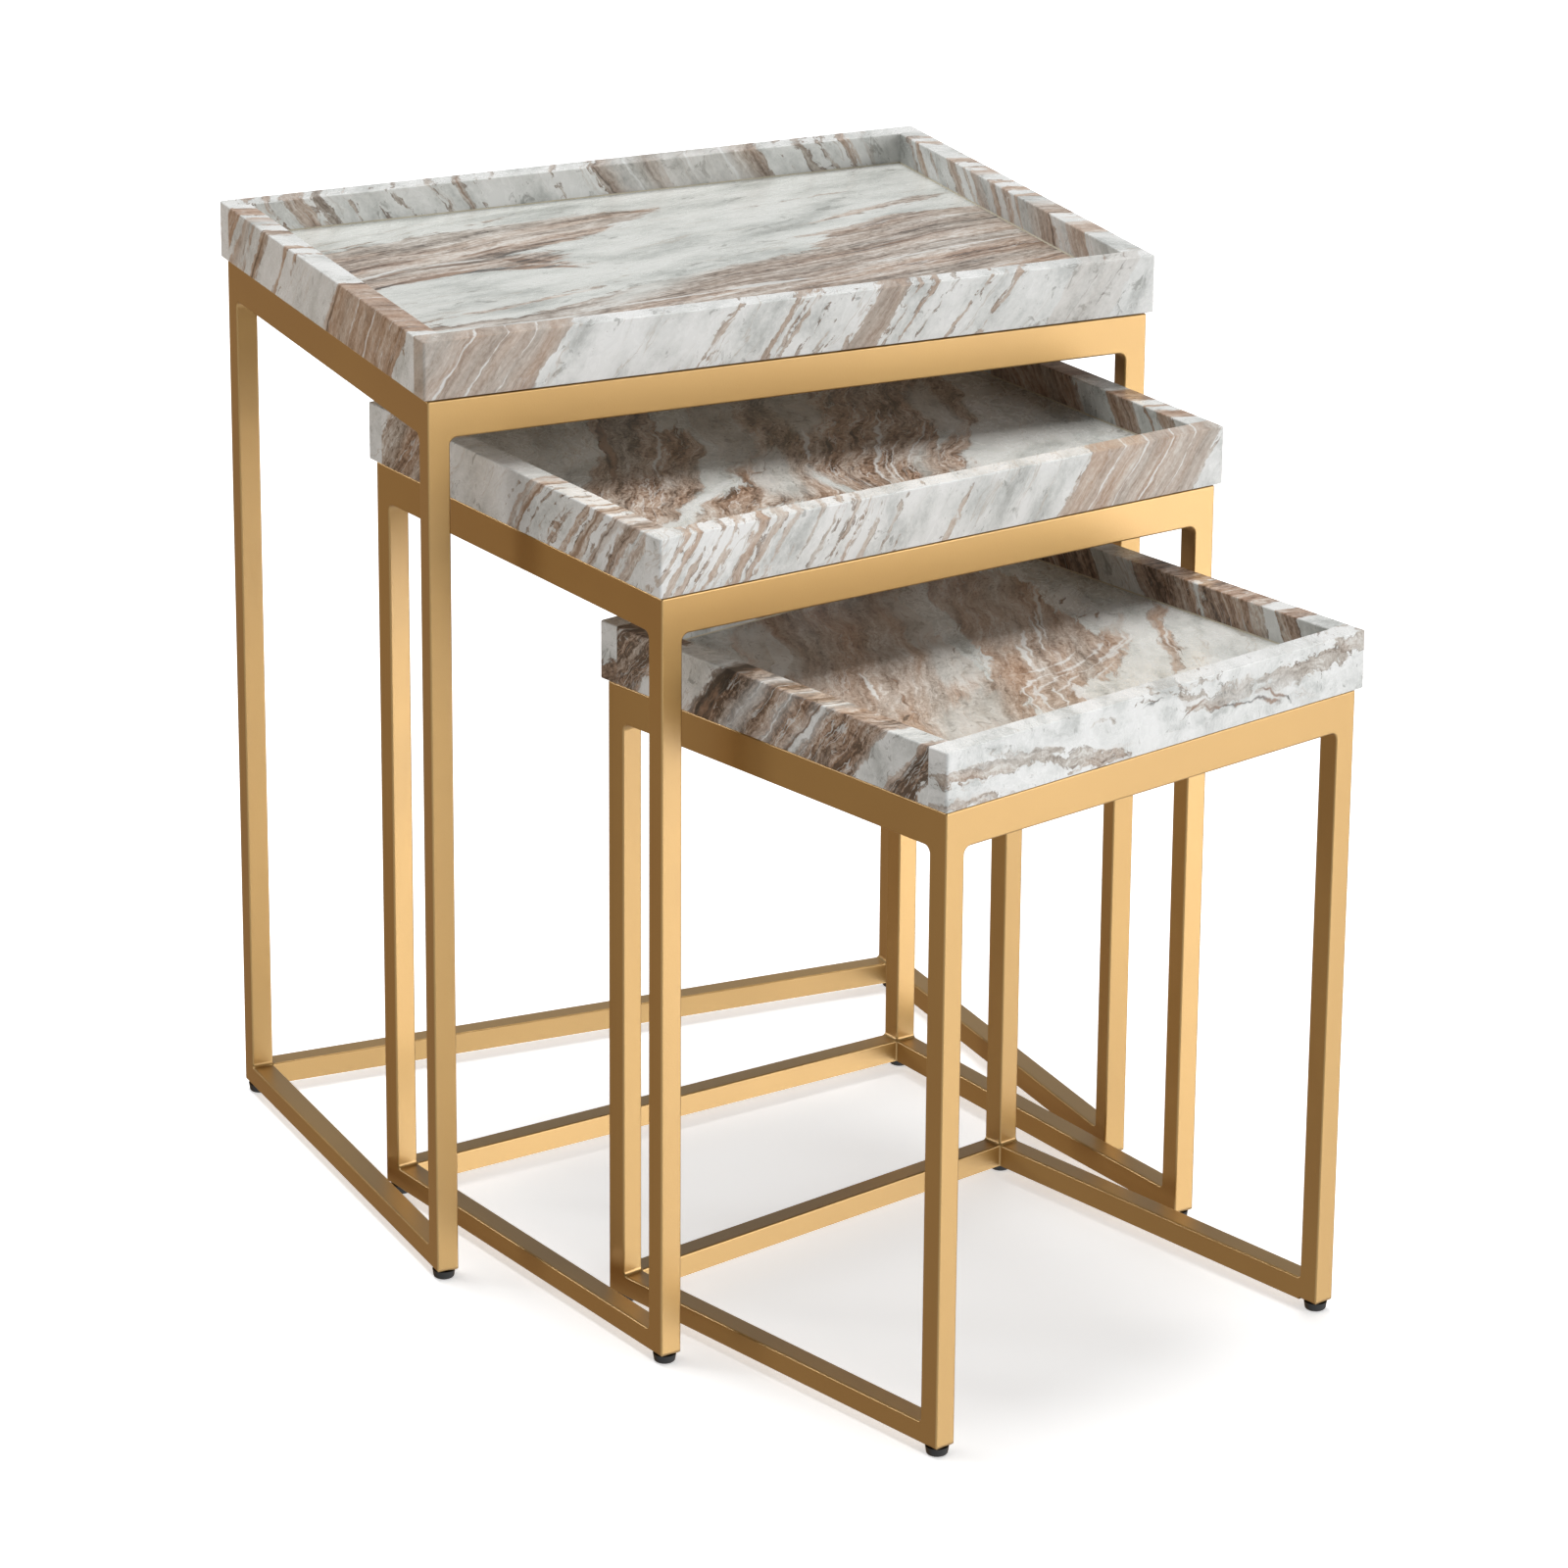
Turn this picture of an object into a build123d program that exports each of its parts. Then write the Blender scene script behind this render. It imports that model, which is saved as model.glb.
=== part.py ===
from build123d import *
import os
from dataclasses import dataclass
from math import cos, radians, sin

# Three nesting side tables, drawn out from one another towards the front and each turned a
# little further than the one above it. Every table is a marble tray, made of a floor slab
# between four rim strips, on a welded frame of square steel tube with a black glide under
# each leg. The frame has no bottom rail at the front, so that a smaller table slides in.
#
# Millimetres. +Z is up, -Y is the open front, and X and Y follow the large table.

# Marble tray
TRAY_HEIGHT = 38.0
RIM = 16.5  # thickness of a rim strip
WELL_DEPTH = 21.0  # from the top of the rim down to the tray's floor
TRAY_CORNER = 1.8  # radius of the tray's upright corners
EASED_EDGE = 1.0  # radius of its long edges
OVERHANG = 3.5  # how far the tray stands out past the frame

# Steel frame
TUBE = 15.0  # square tube of the legs and bottom rails
WALL = 1.2
TOP_RAIL = 25.0  # height of the top rails
TUBE_CORNER = 1.2  # radius of the tube's long edges
TOP_WELD = 5.0  # fillet where a leg meets a top rail
BOTTOM_WELD = 2.5  # fillet where a leg meets a bottom rail
LEG_END = 2.8  # radius ground on the free lower edges of the legs
JOINT = TUBE + 1.5  # a leg's zone at a corner: the tube and the toe of its welds
END_CAP = 3.0  # closes the lower end of a leg

# Feet and pads
FOOT_HEIGHT = 6.0
GLIDE_TOP_RADIUS = 7.5
GLIDE_FLOOR_RADIUS = 6.6
STEM_RADIUS = 3.0
STEM_LENGTH = 12.0
STEM_CLEARANCE = 0.05
SEAT_GAP = 0.2  # between a glide's head and the end of its leg
INSERT_WIDTH = 12.0
INSERT_HEIGHT = 8.0
PAD_RADIUS = 4.5
PAD_HEIGHT = 1.5

OVERCUT = 20.0  # how far a cutting shape runs past the material


@dataclass
class Table:
    """One table: its tray's outside width and depth, and its overall height."""

    name: str
    width: float
    depth: float
    height: float
    turns: bool  # it turns about its front right glide as it slides in

    @property
    def frame_width(self):
        return self.width - 2 * OVERHANG

    @property
    def frame_depth(self):
        return self.depth - 2 * OVERHANG

    @property
    def tray_bottom(self):
        return self.height - TRAY_HEIGHT

    @property
    def frame_top(self):
        return self.tray_bottom - PAD_HEIGHT

    @property
    def leg_x(self):
        return (self.frame_width - TUBE) / 2

    @property
    def leg_y(self):
        return (self.frame_depth - TUBE) / 2


LARGE = Table("large", width=508.0, depth=364.0, height=635.0, turns=False)
MEDIUM = Table("medium", width=429.0, depth=342.0, height=550.0, turns=True)
SMALL = Table("small", width=352.0, depth=320.0, height=462.0, turns=True)

# Where a table stands from the one above it: the middle of its footprint, and its turn.
MEDIUM_FROM_LARGE = Location((10.5, -155.0, 0.0), (0.0, 0.0, 9.6))
SMALL_FROM_MEDIUM = Location((8.3, -196.3, 0.0), (0.0, 0.0, 6.9))


def footprint(table, place):
    """The lowest and highest X and Y of a tray that stands at a place."""
    turn = radians(place.orientation.Z)
    half_width = table.width / 2 - TRAY_CORNER
    half_depth = table.depth / 2 - TRAY_CORNER
    reach_x = half_width * cos(turn) + half_depth * sin(turn) + TRAY_CORNER
    reach_y = half_width * sin(turn) + half_depth * cos(turn) + TRAY_CORNER
    middle = place.position
    return middle.X - reach_x, middle.X + reach_x, middle.Y - reach_y, middle.Y + reach_y


def set_places():
    """Each table's place, with the origin under the middle of the whole set."""
    medium = MEDIUM_FROM_LARGE
    small = MEDIUM_FROM_LARGE * SMALL_FROM_MEDIUM
    lows_x, highs_x, lows_y, highs_y = zip(
        footprint(LARGE, Location()), footprint(MEDIUM, medium), footprint(SMALL, small)
    )
    middle_x = (min(lows_x) + max(highs_x)) / 2
    middle_y = (min(lows_y) + max(highs_y)) / 2
    large = Location((-middle_x, -middle_y, 0.0))
    return {"large": large, "medium": large * medium, "small": large * small}


PLACES = set_places()


def save(shape, table, name):
    """Moves a piece from its table's own frame to the set's, and writes it."""
    with BuildPart() as node:
        with Locations(PLACES[table.name]):
            add(shape)
    node.part.label = f"{table.name}_{name}"
    export_step(node.part, f"parts/{node.part.label}.step")


def keep(x_span, y_span, z_span):
    """Keeps what lies inside a box, given by its low and high X, Y and Z."""
    middle = [(low + high) / 2 for low, high in (x_span, y_span, z_span)]
    size = [high - low for low, high in (x_span, y_span, z_span)]
    with Locations(tuple(middle)):
        Box(*size, mode=Mode.INTERSECT)


def mirror_span(span, sign):
    """A span on the positive side, or its mirror image on the negative side."""
    return span if sign > 0 else (-span[1], -span[0])


# --- Marble tray ---


def tray_blank(table):
    """The whole tray with its edges eased, before it is parted into slab and strips."""
    with BuildPart() as tray:
        with BuildSketch(Plane.XY.offset(table.tray_bottom)):
            Rectangle(table.width, table.depth)
        extrude(amount=TRAY_HEIGHT)
        fillet(tray.edges().filter_by(Axis.Z), TRAY_CORNER)
        with BuildSketch(Plane.XY.offset(table.height - WELL_DEPTH)):
            Rectangle(table.width - 2 * RIM, table.depth - 2 * RIM)
        extrude(amount=WELL_DEPTH, mode=Mode.SUBTRACT)
        long_edges = tray.edges().group_by(Axis.Z)
        fillet(long_edges[0] + long_edges[-1], EASED_EDGE)
    return tray.part


def make_tray(table):
    """Floor slab, full-width front and back strips, and side strips between them."""
    blank = tray_blank(table)
    out_x, out_y = table.width / 2, table.depth / 2
    in_x, in_y = out_x - RIM, out_y - RIM
    whole_height = (table.tray_bottom, table.height)

    with BuildPart() as tray_floor:
        add(blank)
        keep((-in_x, in_x), (-in_y, in_y), whole_height)
    save(tray_floor.part, table, "tray_floor")

    for side, sign in (("front", -1), ("back", 1)):
        with BuildPart() as cross_strip:
            add(blank)
            keep((-out_x, out_x), mirror_span((in_y, out_y), sign), whole_height)
        save(cross_strip.part, table, f"rim_{side}")

    for side, sign in (("left", -1), ("right", 1)):
        with BuildPart() as side_strip:
            add(blank)
            keep(mirror_span((in_x, out_x), sign), (-in_y, in_y), whole_height)
        save(side_strip.part, table, f"rim_{side}")


# --- Steel frame ---


def lies_flat(edge, axis_name, distance):
    """Whether an edge lies in one of the two upright planes at a distance from the middle."""
    box = edge.bounding_box()
    low, high = getattr(box.min, axis_name), getattr(box.max, axis_name)
    return high - low < 0.01 and abs(abs(low) - distance) < 0.01


def arrises(solid, half_width, half_depth, top):
    """The edges in the four upright planes at these distances, clear of the top and floor."""
    found = ShapeList()
    for edge in solid.edges():
        middle = edge.center()
        inside = abs(middle.X) < half_width + 0.01 and abs(middle.Y) < half_depth + 0.01
        in_plane = lies_flat(edge, "X", half_width) or lies_flat(edge, "Y", half_depth)
        if inside and in_plane and FOOT_HEIGHT + 1 < middle.Z < top - 1:
            found.append(edge)
    return found


def side_window(table, plane, span):
    """A cutter for the opening between two legs, a top rail and a bottom rail."""
    low = FOOT_HEIGHT + TUBE
    high = table.frame_top - TOP_RAIL
    with BuildPart() as window:
        with BuildSketch(plane) as outline:
            with Locations((0, (low + high) / 2)):
                Rectangle(span - 2 * TUBE, high - low)
            fillet(outline.vertices().group_by(Axis.Y)[-1], TOP_WELD)
            fillet(outline.vertices().group_by(Axis.Y)[0], BOTTOM_WELD)
        extrude(amount=TUBE / 2, both=True)
    return window.part


def front_window(table, plane):
    """A cutter for the front, which is open down to the floor."""
    low = FOOT_HEIGHT - OVERCUT
    high = table.frame_top - TOP_RAIL
    with BuildPart() as window:
        with BuildSketch(plane) as outline:
            with Locations((0, (low + high) / 2)):
                Rectangle(table.frame_width - 2 * TUBE, high - low)
            fillet(outline.vertices().group_by(Axis.Y)[-1], TOP_WELD)
        extrude(amount=TUBE / 2, both=True)
    return window.part


def rounded_ends(plane, span, depth, top):
    """A block whose outline across the frame has its two lower corners ground round."""
    low = FOOT_HEIGHT
    with BuildPart() as block:
        with BuildSketch(plane) as outline:
            with Locations((0, (low + top) / 2)):
                Rectangle(span, top - low)
            fillet(outline.vertices().group_by(Axis.Y)[0], LEG_END)
        extrude(amount=depth / 2 + OVERCUT, both=True)
    return block.part


def end_trim(table, sign):
    """A cutter that grinds round a front leg's lower edge on the side of the opening."""
    edge_x = table.leg_x - TUBE / 2
    with BuildPart() as trim:
        with BuildSketch(Plane.XZ.offset(table.leg_y)):
            with Locations((sign * (edge_x + LEG_END / 2), FOOT_HEIGHT + LEG_END / 2)):
                Rectangle(LEG_END, LEG_END)
            with Locations((sign * (edge_x + LEG_END), FOOT_HEIGHT + LEG_END)):
                Circle(LEG_END, mode=Mode.SUBTRACT)
        extrude(amount=TUBE / 2, both=True)
    return trim.part


def frame_blank(table):
    """The whole welded frame as one solid shape, before it is parted into its tubes."""
    width, depth, top = table.frame_width, table.frame_depth, table.frame_top
    with BuildPart() as frame:
        with BuildSketch(Plane.XY.offset(FOOT_HEIGHT)):
            Rectangle(width, depth)
        extrude(amount=top - FOOT_HEIGHT)
        fillet(frame.edges().filter_by(Axis.Z), TUBE_CORNER)
        with BuildSketch(Plane.XY.offset(FOOT_HEIGHT)):
            Rectangle(width - 2 * TUBE, depth - 2 * TUBE)
        extrude(amount=top - FOOT_HEIGHT, mode=Mode.SUBTRACT)
        add(front_window(table, Plane.XZ.offset(table.leg_y)), mode=Mode.SUBTRACT)
        add(side_window(table, Plane.XZ.offset(-table.leg_y), width), mode=Mode.SUBTRACT)
        for sign in (-1, 1):
            window = side_window(table, Plane.YZ.offset(sign * table.leg_x), depth)
            add(window, mode=Mode.SUBTRACT)

        # Round the edges of the tubes, outside and inside, and the top's outer edges.
        outer = [
            edge
            for edge in arrises(frame, width / 2, depth / 2, top)
            if abs(edge.center().X) < width / 2 - 2 or abs(edge.center().Y) < depth / 2 - 2
        ]
        fillet(outer, TUBE_CORNER)
        fillet(arrises(frame, width / 2 - TUBE, depth / 2 - TUBE, top), TUBE_CORNER)
        rim = frame.edges().filter_by(lambda e: e.bounding_box().min.Z > top - 0.01)
        fillet(rim.filter_by(lambda e: outside_tubes(e, table)), TUBE_CORNER)

        # Grind the free lower edges of the legs.
        add(rounded_ends(Plane.XZ, width, depth, top), mode=Mode.INTERSECT)
        add(rounded_ends(Plane.YZ, depth, width, top), mode=Mode.INTERSECT)
        for sign in (-1, 1):
            add(end_trim(table, sign), mode=Mode.SUBTRACT)
    return frame.part


def outside_tubes(edge, table):
    """Whether an edge lies along the outside of the frame, not along its inside."""
    middle = edge.center()
    past_x = abs(middle.X) > table.frame_width / 2 - TUBE / 2
    past_y = abs(middle.Y) > table.frame_depth / 2 - TUBE / 2
    return past_x or past_y


def make_legs(table, blank):
    """Four hollow legs, each with its welds' toes, a closed lower end and a glide's hole."""
    out_x, out_y = table.frame_width / 2, table.frame_depth / 2
    hollow_low = FOOT_HEIGHT + END_CAP
    hollow_high = table.frame_top - WALL
    for end, sign_y in (("front", -1), ("back", 1)):
        for side, sign_x in (("left", -1), ("right", 1)):
            centre = (sign_x * table.leg_x, sign_y * table.leg_y)
            with BuildPart() as leg:
                add(blank)
                keep(
                    mirror_span((out_x - JOINT, out_x), sign_x),
                    mirror_span((out_y - JOINT, out_y), sign_y),
                    (FOOT_HEIGHT, table.frame_top),
                )
                with BuildSketch(Plane.XY.offset(hollow_low)):
                    with Locations(centre):
                        Rectangle(TUBE - 2 * WALL, TUBE - 2 * WALL)
                extrude(amount=hollow_high - hollow_low, mode=Mode.SUBTRACT)
                with BuildSketch(Plane.XY.offset(FOOT_HEIGHT)):
                    with Locations(centre):
                        Circle(STEM_RADIUS + STEM_CLEARANCE)
                extrude(amount=END_CAP, mode=Mode.SUBTRACT)
            save(leg.part, table, f"leg_{end}_{side}")


def make_cross_rail(table, blank, sign, low, high, name):
    """A hollow rail from left to right, at the front or the back."""
    out_x, out_y = table.frame_width / 2, table.frame_depth / 2
    with BuildPart() as rail:
        add(blank)
        keep((JOINT - out_x, out_x - JOINT), mirror_span((out_y - TUBE, out_y), sign), (low, high))
        with Locations((0, sign * table.leg_y, rail_middle(low, high))):
            Box(2 * out_x, TUBE - 2 * WALL, rail_bore(low, high), mode=Mode.SUBTRACT)
    save(rail.part, table, name)


def make_side_rail(table, blank, sign, low, high, name):
    """A hollow rail from front to back, at the left or the right."""
    out_x, out_y = table.frame_width / 2, table.frame_depth / 2
    with BuildPart() as rail:
        add(blank)
        keep(mirror_span((out_x - TUBE, out_x), sign), (JOINT - out_y, out_y - JOINT), (low, high))
        with Locations((sign * table.leg_x, 0, rail_middle(low, high))):
            Box(TUBE - 2 * WALL, 2 * out_y, rail_bore(low, high), mode=Mode.SUBTRACT)
    save(rail.part, table, name)


def rail_height(low, high):
    """A rail's own height: its zone, less the weld fillet that the zone takes in."""
    weld = TOP_WELD if high - low > TUBE + TOP_WELD else BOTTOM_WELD
    return high - low - weld


def rail_middle(low, high):
    """The height of a rail's middle. A top rail's weld is below it, a bottom rail's above."""
    height = rail_height(low, high)
    return high - height / 2 if height > TUBE else low + height / 2


def rail_bore(low, high):
    return rail_height(low, high) - 2 * WALL


def make_rails(table, blank):
    top_zone = (table.frame_top - TOP_RAIL - TOP_WELD, table.frame_top)
    bottom_zone = (FOOT_HEIGHT, FOOT_HEIGHT + TUBE + BOTTOM_WELD)
    make_cross_rail(table, blank, -1, *top_zone, "top_rail_front")
    make_cross_rail(table, blank, 1, *top_zone, "top_rail_back")
    make_cross_rail(table, blank, 1, *bottom_zone, "bottom_rail_back")
    for side, sign in (("left", -1), ("right", 1)):
        make_side_rail(table, blank, sign, *top_zone, f"top_rail_{side}")
        make_side_rail(table, blank, sign, *bottom_zone, f"bottom_rail_{side}")


# --- Feet and pads ---


def glide():
    """A tapered plastic glide with a round stem, standing on the floor at the origin."""
    with BuildPart() as foot:
        with BuildSketch(Plane.XZ) as half:
            with BuildLine():
                Polyline(
                    (0, 0),
                    (GLIDE_FLOOR_RADIUS, 0),
                    (GLIDE_TOP_RADIUS, FOOT_HEIGHT - SEAT_GAP),
                    (STEM_RADIUS, FOOT_HEIGHT - SEAT_GAP),
                    (STEM_RADIUS, FOOT_HEIGHT + STEM_LENGTH),
                    (0, FOOT_HEIGHT + STEM_LENGTH),
                    close=True,
                )
            make_face()
            outer = half.vertices().filter_by(lambda v: v.X > STEM_RADIUS + 1)
            fillet(outer.sort_by(Axis.Y)[0], 2.0)
            fillet(outer.sort_by(Axis.Y)[-1], 0.5)
        revolve(axis=Axis.Z)
    return foot.part


def insert():
    """A square nut that sits on the end cap inside a leg and takes a glide's stem."""
    with BuildPart() as nut:
        with BuildSketch(Plane.XY.offset(FOOT_HEIGHT + END_CAP)):
            RectangleRounded(INSERT_WIDTH, INSERT_WIDTH, 1.0)
            Circle(STEM_RADIUS + STEM_CLEARANCE, mode=Mode.SUBTRACT)
        extrude(amount=INSERT_HEIGHT)
    return nut.part


def make_feet(table):
    """Glides and their inserts. The glide that a table turns about is a piece of its own."""
    corners = [(x * table.leg_x, y * table.leg_y) for x in (-1, 1) for y in (-1, 1)]
    pivot = (table.leg_x, -table.leg_y)
    fixed = [corner for corner in corners if corner != pivot or not table.turns]

    with BuildPart() as glides:
        with Locations(*fixed):
            add(glide())
    save(glides.part, table, "glides")

    if table.turns:
        with BuildPart() as pivot_glide:
            with Locations(pivot):
                add(glide())
        save(pivot_glide.part, table, "pivot_glide")

    with BuildPart() as inserts:
        with Locations(*corners):
            add(insert())
    save(inserts.part, table, "foot_inserts")


def make_pads(table):
    """Six clear round pads that bed the tray on the top rails and legs."""
    spots = [(x * table.leg_x, y * table.leg_y) for x in (-1, 0, 1) for y in (-1, 1)]
    with BuildPart() as pads:
        with BuildSketch(Plane.XY.offset(table.frame_top)):
            with Locations(*spots):
                Circle(PAD_RADIUS)
        extrude(amount=PAD_HEIGHT)
    save(pads.part, table, "tray_pads")


os.makedirs("parts", exist_ok=True)
for one_table in (LARGE, MEDIUM, SMALL):
    make_tray(one_table)
    welded = frame_blank(one_table)
    make_legs(one_table, welded)
    make_rails(one_table, welded)
    make_feet(one_table)
    make_pads(one_table)
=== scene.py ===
"""Three nesting tables: banded marble trays on welded square-tube frames in satin gold, on black glides.

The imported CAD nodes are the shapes. This script gives each its surface, adds the bead of glue round each
tray floor, and sets the light and the camera. Metres, +Z up, the tables' open front towards -Y.
"""

import math

import bmesh
import bpy
from mathutils import Matrix, Vector


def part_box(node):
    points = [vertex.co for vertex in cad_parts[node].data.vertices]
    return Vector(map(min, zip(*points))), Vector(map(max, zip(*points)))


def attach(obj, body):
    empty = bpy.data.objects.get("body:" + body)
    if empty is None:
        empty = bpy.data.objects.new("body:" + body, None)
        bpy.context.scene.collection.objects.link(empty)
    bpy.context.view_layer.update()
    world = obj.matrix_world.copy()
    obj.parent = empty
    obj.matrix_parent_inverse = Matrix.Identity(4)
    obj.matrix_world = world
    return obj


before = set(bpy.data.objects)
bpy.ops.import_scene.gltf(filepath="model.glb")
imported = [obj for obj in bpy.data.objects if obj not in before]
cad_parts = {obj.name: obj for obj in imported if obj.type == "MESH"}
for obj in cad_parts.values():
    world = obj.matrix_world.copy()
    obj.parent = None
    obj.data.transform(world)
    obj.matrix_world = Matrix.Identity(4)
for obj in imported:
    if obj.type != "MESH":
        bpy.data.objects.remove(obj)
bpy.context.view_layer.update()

SIZES = ("large", "medium", "small")
SIDES = ("front", "back", "left", "right")
TURN = {"large": 0.0, "medium": math.radians(9.6), "small": math.radians(16.5)}  # as the set is fanned out
BODY = {size: f"{size}_table" for size in SIZES}


def place_of(size):
    """The middle of a table's tray floor, on plan, and the top of its rim."""
    low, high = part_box(f"{size}_tray_floor")
    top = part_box(f"{size}_rim_front")[1].z
    return Vector(((low.x + high.x) / 2, (low.y + high.y) / 2, top))


def half_tray(size):
    """Half a tray's width and half its depth, over its rim strips, in the table's own directions."""
    middle, unturn = place_of(size), Matrix.Rotation(-TURN[size], 4, "Z")
    strips = [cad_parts[f"{size}_rim_{side}"].data for side in SIDES]
    places = [unturn @ (vertex.co - middle) for strip in strips for vertex in strip.vertices]
    return max(place.x for place in places), max(place.y for place in places)


HALF_TRAY = {size: half_tray(size) for size in SIZES}
RIM_LOW, RIM_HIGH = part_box("large_rim_front")
RIM = RIM_HIGH.y - RIM_LOW.y
STRIP_MIDDLE = (RIM_LOW.z - RIM_HIGH.z) / 2


# ---------------------------------------------------------------- node wiring


class Graph:
    """Short words for wiring shader nodes. A value is a socket, a number or a tuple."""

    def __init__(self, tree):
        self.tree = tree

    def node(self, kind, inputs=None, **settings):
        made = self.tree.nodes.new(kind)
        for name, value in settings.items():
            setattr(made, name, value)
        for name, value in (inputs or {}).items():
            self.feed(made.inputs[name], value)
        return made

    def feed(self, socket, value):
        if isinstance(value, bpy.types.NodeSocket):
            self.tree.links.new(value, socket)
        else:
            socket.default_value = value

    def math(self, operation, *values, clamp=False):
        made = self.node("ShaderNodeMath", dict(enumerate(values)), operation=operation)
        made.use_clamp = clamp
        return made.outputs[0]

    def swing(self, value, amount, base=0.0, clamp=False):
        """The base, and a value of 0 to 1 that moves it by that amount about its middle."""
        return self.math("MULTIPLY_ADD", self.math("SUBTRACT", value, 0.5), amount, base, clamp=clamp)

    def between(self, value, low, high, to_low=0.0, to_high=1.0):
        """The value eased from one range to another, held at its ends."""
        inputs = {"Value": value, "From Min": low, "From Max": high, "To Min": to_low, "To Max": to_high}
        return self.node("ShaderNodeMapRange", inputs, interpolation_type="SMOOTHSTEP").outputs[0]

    def vector(self, operation, *values):
        return self.node("ShaderNodeVectorMath", dict(enumerate(values)), operation=operation).outputs[0]

    def scaled(self, vector, factor):
        made = self.node("ShaderNodeVectorMath", {0: vector, "Scale": factor}, operation="SCALE")
        return made.outputs[0]

    def split(self, vector):
        return self.node("ShaderNodeSeparateXYZ", {0: vector}).outputs

    def join(self, *parts):
        return self.node("ShaderNodeCombineXYZ", dict(enumerate(parts))).outputs[0]

    def seen_from(self, vector, place, turn):
        """The vector as read in a frame at that place, turned so."""
        inputs = {"Vector": vector, "Location": place, "Rotation": turn}
        return self.node("ShaderNodeMapping", inputs, vector_type="TEXTURE").outputs[0]

    def stretched(self, vector, scale):
        inputs = {"Vector": vector, "Scale": scale}
        return self.node("ShaderNodeMapping", inputs, vector_type="POINT").outputs[0]

    def rotated(self, vector, angle):
        inputs = {"Vector": vector, "Angle": angle}
        return self.node("ShaderNodeVectorRotate", inputs, rotation_type="Z_AXIS").outputs[0]

    def noise(self, vector, scale, detail, roughness, distortion=0.0, output="Fac"):
        inputs = {"Vector": vector, "Scale": scale, "Detail": detail, "Roughness": roughness}
        inputs["Distortion"] = distortion
        return self.node("ShaderNodeTexNoise", inputs).outputs[output]

    def drawn_noise(self, vector, often, detail=3.0, roughness=0.55, distortion=0.0):
        """Noise drawn out along the axes: how often it changes per metre along each."""
        return self.noise(self.stretched(vector, often), 1.0, detail, roughness, distortion)

    def voronoi(self, vector, scale):
        return self.node("ShaderNodeTexVoronoi", {"Vector": vector, "Scale": scale}).outputs["Distance"]

    def ramp(self, value, stops):
        made = self.node("ShaderNodeValToRGB", {"Fac": value})
        elements = made.color_ramp.elements
        while len(elements) < len(stops):
            elements.new(0.5)
        for element, (place, colour) in zip(elements, stops):
            element.position = place
            element.color = (*colour, 1.0)
        return made.outputs["Color"]

    def mix(self, share, first, second, blend="MIX"):
        made = self.node("ShaderNodeMix", data_type="RGBA", blend_type=blend)
        self.feed(made.inputs[0], share)
        self.feed(made.inputs[6], first if isinstance(first, bpy.types.NodeSocket) else (*first, 1.0))
        self.feed(made.inputs[7], second if isinstance(second, bpy.types.NodeSocket) else (*second, 1.0))
        return made.outputs[2]

    def laid_on(self, under, over, mask, strength):
        """The first colour with the second laid on it where the mask is, that strongly."""
        return self.mix(self.math("MULTIPLY", mask, strength), under, over)

    def group(self, tree, inputs):
        return self.node("ShaderNodeGroup", inputs, node_tree=tree).outputs

    def place(self):
        return self.node("ShaderNodeTexCoord").outputs["Object"]


def new_material(name, fixed):
    """A material with one Principled shader, its constant values on its own sockets."""
    material = bpy.data.materials.new(name)
    material.use_nodes = True
    tree = material.node_tree
    tree.nodes.clear()
    graph = Graph(tree)
    shader = graph.node("ShaderNodeBsdfPrincipled", fixed)
    graph.node("ShaderNodeOutputMaterial", {0: shader.outputs[0]})
    return material, graph, shader


def finish_surface(graph, shader, colour, roughness, height=None, distance=0.0, strength=1.0):
    """Feeds the shader its colour and roughness, and its relief where it has one, that many metres deep."""
    graph.feed(shader.inputs["Base Color"], colour)
    graph.feed(shader.inputs["Roughness"], roughness)
    if height is not None:
        inputs = {"Height": height, "Distance": distance, "Strength": strength}
        graph.feed(shader.inputs["Normal"], graph.node("ShaderNodeBump", inputs).outputs[0])


def dress(node, material):
    """Gives a CAD node that one material."""
    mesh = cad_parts[node].data
    mesh.materials.clear()
    mesh.materials.append(material)


# ---------------------------------------------------------------- gold powder coat

GOLD = ((0.430, 0.247, 0.057), (0.463, 0.268, 0.065))
GOLD_FLAKE = (0.64, 0.42, 0.16)


def gold_coat():
    fixed = {"Metallic": 0.9, "Coat Weight": 0.8, "Coat IOR": 1.8, "Coat Roughness": 0.36}
    material, graph, shader = new_material("satin_gold_powder_coat", fixed)
    at = graph.place()
    cloud = graph.noise(at, scale=9.0, detail=3.0, roughness=0.55)
    grain = graph.noise(at, scale=900.0, detail=2.0, roughness=0.7)
    flake = graph.between(graph.voronoi(at, scale=1500.0), 0.15, 0.0, to_high=0.35)
    colour = graph.mix(flake, graph.mix(cloud, *GOLD), GOLD_FLAKE)
    roughness = graph.between(cloud, 0.2, 0.8, to_low=0.40, to_high=0.48)
    finish_surface(graph, shader, colour, roughness, grain, distance=0.00008)
    return material


# ---------------------------------------------------------------- glides, inserts, pads

BLACK = ((0.010, 0.010, 0.011), (0.022, 0.021, 0.020))
ZINC = ((0.42, 0.43, 0.44), (0.60, 0.60, 0.59))
CLEAR_RUBBER = ((0.70, 0.71, 0.68), (0.80, 0.80, 0.77))


def black_plastic():
    material, graph, shader = new_material("black_glide_plastic", {"IOR": 1.49})
    at = graph.place()
    grain = graph.noise(at, scale=1200.0, detail=3.0, roughness=0.6)
    wear = graph.noise(at, scale=60.0, detail=4.0, roughness=0.6)
    roughness = graph.between(wear, 0.2, 0.8, to_low=0.30, to_high=0.50)
    finish_surface(graph, shader, graph.mix(wear, *BLACK), roughness, grain, distance=0.00005)
    return material


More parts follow.
